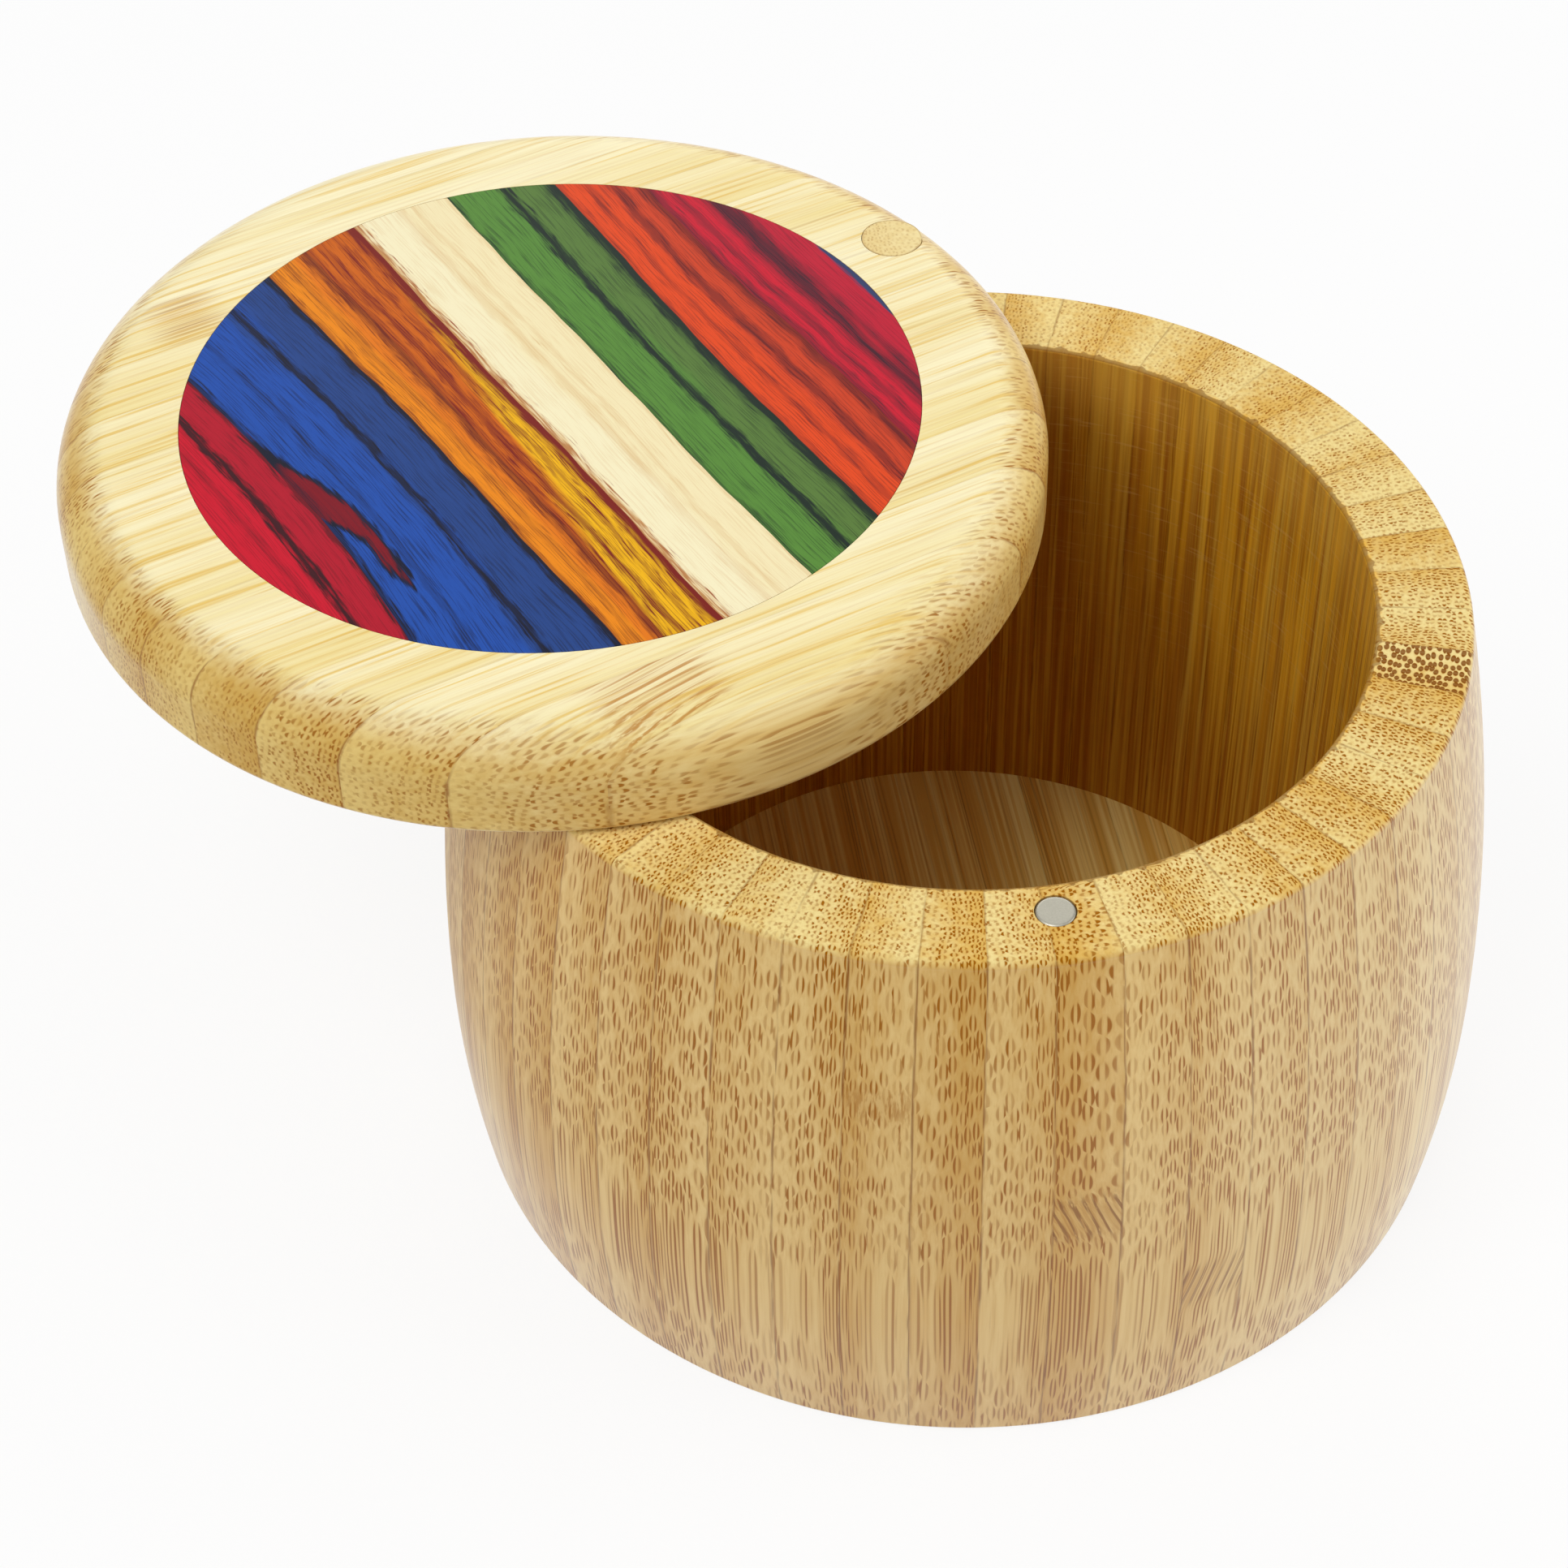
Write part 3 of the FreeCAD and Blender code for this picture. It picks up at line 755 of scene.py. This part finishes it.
def inlayPieces():
    # each stripe is a rectangle swept along u: its sides follow two wavy borders, cut off by the inlay's rim
    low, high = groupBox("inlay_strip")
    centre = (low + high) / 2
    radius = (high[0] - low[0]) / 2
    angle = math.radians(inlay["angle"])
    lengthwise = np.array([math.cos(angle), math.sin(angle)])
    crosswise = np.array([-math.sin(angle), math.cos(angle)])

    def wave(name, number, u):
        rate, shift, height = inlay[name]
        return height * np.sin(u * rate + shift * number)

    def border(number, u):
        # middle + lean x u + bow x (u / radius) squared + height x sum of three sine waves
        if number < 0 or number == len(inlay["borders"]):
            return np.full_like(u, -radius if number < 0 else radius)
        middle, lean, bow, height = inlay["borders"][number]
        ripple = wave("longWave", number, u) + wave("midWave", number, u)
        ripple = ripple + wave("shortWave", number, u) * wave("swell", number, u)
        return middle + lean * u + bow * (u / radius) ** 2 + height * ripple

    def span(number, u):
        # the two sides of a stripe, and the inlay's circle
        reach = np.sqrt(np.maximum(radius ** 2 - u ** 2, 0))
        return np.maximum(border(number - 1, u), -reach), np.minimum(border(number, u), reach)

    for number, (colourName, look) in enumerate(stripes.items()):
        fine = np.linspace(-radius, radius, inlay["searchSteps"])
        lowSide, highSide = span(number, fine)
        inside = fine[highSide - lowSide > inlay["thinnest"]]
        # stations stand closer towards both ends, as half a turn of a sine does
        share = np.sin(np.linspace(-0.5, 0.5, inlay["stations"]) * math.pi) / 2 + 0.5
        u = inside[0] + (inside[-1] - inside[0]) * share
        lowSide, highSide = span(number, u)
        corners = np.stack([lowSide, highSide, highSide, lowSide], axis=1)
        heights = np.broadcast_to([low[2], low[2], high[2], high[2]], corners.shape)
        plan = centre[:2] + u[:, None, None] * lengthwise + corners[..., None] * crosswise
        points = np.concatenate([plan, heights[..., None]], axis=2).reshape(-1, 3) * mm
        corner = np.arange(4)
        after = (corner + 1) % 4
        ring = np.arange(inlay["stations"] - 1)[:, None] * 4
        faces = np.stack([ring + corner, ring + after, ring + 4 + after, ring + 4 + corner], axis=2)
        last = 4 * (inlay["stations"] - 1)
        faces = faces.reshape(-1, 4).tolist() + [[3, 2, 1, 0], [last, last + 1, last + 2, last + 3]]
        piece = bpy.data.meshes.new("inlay_" + colourName)
        piece.from_pydata(points.tolist(), [], faces)
        # the map holds mm along and the place across between the two borders
        before, beyond = border(number - 1, u), border(number, u)
        across = (corners - before[:, None]) / (beyond - before)[:, None]
        spots = np.stack([np.broadcast_to(u[:, None], across.shape), across], axis=2).reshape(-1, 2)
        loops = np.zeros(len(piece.loops), dtype=np.int32)
        piece.loops.foreach_get("vertex_index", loops)
        stripeMap = piece.uv_layers.new(name="stripe")
        stripeMap.data.foreach_set("uv", spots[loops].astype(np.float32).ravel())
        width = float(np.mean(beyond - before))
        piece.materials.append(dyedWood(colourName, look, width))
        body = bpy.data.objects.new("inlay_" + colourName, piece)
        bpy.context.scene.collection.objects.link(body)
        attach(body, "lid")
        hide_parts("inlay_strip_" + colourName)
        "inlay_" + colourName


def profile(along, start, rises):
    # start plus eased rises, each from one place to another, mm
    height = along * 0.0 + start
    for low, high, rise in rises:
        height = height + along.smooth(low, high) * rise
    return height


def withTongue(colour, ink, along, flat, feather, tongue):
    # the tongue's colour, its dark rim and its dark start
    top = profile(along, 0.0, tongue["top"])
    foot = profile(along, tongue["footStart"], tongue["foot"])
    inside = top.maths("SMOOTH_MIN", top - flat, flat - foot, tongue["blend"])
    inside = inside + (feather - 0.5) * tongue["ragged"]
    shape = inside.smooth(*tongue["edge"])
    rim = abs(inside).smooth(*tongue["rimWidth"]) * along.smooth(*tongue["rimStart"])
    rim = rim * along.smooth(*tongue["rimEnd"]) * flat.smooth(*tongue["rimFoot"])
    ink = ink * (1 - tongue["grainLoss"] * shape) + rim * tongue["rimInk"]
    ink = ink + shape * along.smooth(*tongue["startAt"]) * tongue["startInk"]
    return shape.mixed(colour, tongue["colour"]), ink


def dyedWood(colourName, look, width):
    # dyed veneer: fine dark grain lines, soft dark streaks and feathered dark edges, all along the stripe
    material, shader, point, _ = newMaterial("inlay_" + colourName)
    stripeMap = point.node("ShaderNodeUVMap", {"uv_map": "stripe"}, {})
    along, share, _ = stripeMap.parts()
    seed = inlay["seedStep"] * list(stripes).index(colourName)
    flat = share * width
    waverPoint = along.point(along * inlay["waverAlong"] + seed, flat * inlay["waverAcross"], 0.0)
    across = flat + (along.noise(waverPoint, 1.0) - 0.5) * inlay["waver"]

    def grain(name):
        acrossRate, alongRate, layer, detail = inlay[name]
        return along.noise(along.point(across * acrossRate, along * alongRate + seed, layer), detail)

    feather, hair, cloud = grain("feather"), grain("hair"), grain("cloud")
    turned = share + (cloud - 0.5) * inlay["turnCloud"] + along * look.get("turnAlong", 0.0)
    turn = turned.smooth(look["turnAt"] - inlay["turnSoft"], look["turnAt"] + inlay["turnSoft"])
    colour = turn.mixed(look["dye"], look["turn"])
    if "fringe" in look:  # strands of the neighbour's dye
        strands = flat + (grain("strand") - 0.5) * inlay["fringeRagged"]
        colour = strands.smooth(*inlay["fringeReach"]).mixed(colour, look["fringe"])
    if "sliver" in look:  # the next stripe just shows at the inlay's edge
        sliver = width - flat + (feather - 0.5) * inlay["sliverRagged"]
        colour = sliver.smooth(*inlay["sliverReach"]).mixed(colour, look["sliver"])
    ink = feather.smooth(*inlay["featherFrom"]) * (inlay["featherInk"] * look["grain"])
    ink = ink + hair.smooth(*inlay["hairFrom"]) * (inlay["hairInk"] * look["grain"])
    ragged = (feather - 0.5) * inlay["ragged"]
    for place, halfWidth, strength in look["streaks"]:
        off = abs(across - place * width) + ragged
        streak = off.smooth(halfWidth * 2, halfWidth * inlay["softCore"])
        ink = ink + streak * strength * cloud.smooth(*inlay["streakFrom"])
    for edge, (strength, reach) in ((flat, look["low"]), (width - flat, look["high"])):
        ink = ink + (edge + ragged).smooth(reach, reach * inlay["softCore"]) * strength
    if "tongue" in look:
        colour, ink = withTongue(colour, ink, along, flat, feather, look["tongue"])
    colour = ink.mixed(colour, look["dark"])
    roughness = inlay["roughness"] + inlay["roughSpread"] * (feather - 0.5)
    relief = bumped(hair, inlay["relief"], inlay["reliefDepth"])
    wires = {"Base Color": colour, "Roughness": roughness, "Normal": relief}
    finish(shader, wires, {"Specular IOR Level": inlay["gloss"]})
    return material


magnet = {
    "dull": paint(140, 137, 125),
    "bright": paint(160, 157, 144),
    "rate": 6.0,           # changes of its tone per mm
    "roughness": 0.3,
    "roughSpread": 0.15,
}


def magnetPlating():
    material, shader, point, _ = newMaterial("magnetPlating")
    x, y, z = point.parts()
    grain = x.noise(x.point(x * magnet["rate"], y * magnet["rate"], z * magnet["rate"]), 3.0)
    roughness = magnet["roughness"] + grain * magnet["roughSpread"]
    colour = grain.mixed(magnet["dull"], magnet["bright"])
    finish(shader, {"Base Color": colour, "Roughness": roughness}, {"Metallic": 1.0})
    return material


lidLow, lidHigh = groupBox("lid_strip")
lidCentre = (lidLow + lidHigh) / 2
lidRadius = (lidHigh[0] - lidLow[0]) / 2
lidStep = (2 * lidRadius - lidBoard["edgeStrip"]) / (lidBoard["strips"] - 1)
floorLow = groupBox("floor_strip")[0]

finishes = {
    "bamboo_wall": wallBamboo(),
    "bamboo_floor": boardBamboo("bambooFloor", floorBoard, (0, 0), floorLow[0], floorBoard["width"]),
    "bamboo_lid": boardBamboo("bambooLid", lidBoard, lidCentre, -lidRadius, lidStep),
    "bamboo_dowel": dowelBamboo(),
    "magnet_plating": magnetPlating(),
}
for part in frame["record"]["subparts"]:
    if part["material_slot"] in finishes:
        nodes[part["node"]].material_slots[0].material = finishes[part["material_slot"]]
print("bamboo and plating set")
inlayPieces()
print("inlay built:", len(stripes), "stripes")

# Studio: white floor, even sky and four broad lamps
studio = {
    "sky": 0.33,
    # each lamp: watts, size and place in metres
    "lamps": {
        "overhead": (1.6, 0.8, (-0.1, -0.1, 1.0)),
        "right": (3.2, 0.6, (0.8, -0.2, 0.35)),
        "left": (3.8, 0.5, (-0.42, -0.36, 0.85)),
        "back": (3.0, 0.6, (0.15, 1.0, 0.58)),
    },
    "aim": (0.0, 0.0, 0.04),
    "floorSize": 6.0,
    "floorColour": (0.9, 0.9, 0.9, 1),
    "floorRoughness": 0.9,
    "floorGlow": 0.86,     # how much of the floor's own white the camera sees, against its lit surface
}


def showsBackground(wire):
    # 1 for what the camera, a gloss or a glass sees
    camera = wire.node("ShaderNodeLightPath", {}, {}, "Is Camera Ray")
    gloss = camera.maths("MAXIMUM", camera, camera.other("Is Glossy Ray"))
    return camera.maths("MAXIMUM", gloss, camera.other("Is Transmission Ray"))


def buildStudio():
    world = bpy.data.worlds.new("studio")
    bpy.context.scene.world = world
    world.use_nodes = True
    background = world.node_tree.nodes["Background"]
    background.inputs["Color"].default_value = (1, 1, 1, 1)
    start = Wire(world.node_tree, background.outputs[0])
    strength = showsBackground(start).ranged(studio["sky"], 1)
    world.node_tree.links.new(strength.socket, background.inputs["Strength"])

    half = studio["floorSize"] / 2
    mesh = bpy.data.meshes.new("floor")
    corners = [(-half, -half, 0), (half, -half, 0), (half, half, 0), (-half, half, 0)]
    mesh.from_pydata(corners, [], [(0, 1, 2, 3)])
    floor = bpy.data.objects.new("floor", mesh)
    bpy.context.scene.collection.objects.link(floor)
    material, shader, point, _ = newMaterial("paleFloor")
    constants = {"Base Color": studio["floorColour"], "Roughness": studio["floorRoughness"]}
    finish(shader, {}, {**constants, "Specular IOR Level": 0.0})
    output = material.node_tree.nodes["Material Output"]
    glow = point.node("ShaderNodeEmission", {}, {"Color": (1, 1, 1, 1), "Strength": 1.0})
    seen = showsBackground(point) * studio["floorGlow"]
    surface = Wire(material.node_tree, shader.outputs[0])
    both = point.node("ShaderNodeMixShader", {}, {0: seen, 1: surface, 2: glow})
    material.node_tree.links.new(both.socket, output.inputs["Surface"])
    mesh.materials.append(material)

    for name, (power, size, place) in studio["lamps"].items():
        lamp = bpy.data.lights.new(name, "AREA")
        lamp.energy = power
        lamp.size = size
        lampObject = bpy.data.objects.new(name, lamp)
        lampObject.location = place
        aim = Vector(studio["aim"]) - lampObject.location
        lampObject.rotation_euler = aim.to_track_quat("-Z", "Y").to_euler()
        bpy.context.scene.collection.objects.link(lampObject)


view = {
    "place": (-50.22, -244.66, 280.92),   # mm
    "yaw": 0.1365,         # radians, to the right of +Y
    "pitch": 0.777,        # below level
    "roll": -0.021,
    "focal": 4657.7,       # pixels
    "frame": 1932,         # pixels
    "sensor": 36,          # mm
    "nearest": 0.01,       # metres
}


def buildCamera():
    yaw, pitch, roll = view["yaw"], view["pitch"], view["roll"]
    ahead = Vector((math.sin(yaw) * math.cos(pitch), math.cos(yaw) * math.cos(pitch), -math.sin(pitch)))
    level = Vector((math.cos(yaw), -math.sin(yaw), 0))
    upright = level.cross(ahead)
    right = math.cos(roll) * level + math.sin(roll) * upright
    up = math.cos(roll) * upright - math.sin(roll) * level
    camera = bpy.data.cameras.new("camera")
    camera.sensor_width = view["sensor"]
    camera.lens = view["focal"] / view["frame"] * camera.sensor_width
    camera.clip_start = view["nearest"]
    cameraObject = bpy.data.objects.new("camera", camera)
    turn = Matrix((right, up, -ahead)).transposed().to_4x4()
    cameraObject.matrix_world = Matrix.Translation(Vector(view["place"]) * mm) @ turn
    bpy.context.scene.collection.objects.link(cameraObject)
    bpy.context.scene.camera = cameraObject


buildStudio()
buildCamera()
bpy.context.scene.view_settings.view_transform = "Standard"
print("studio and camera set")
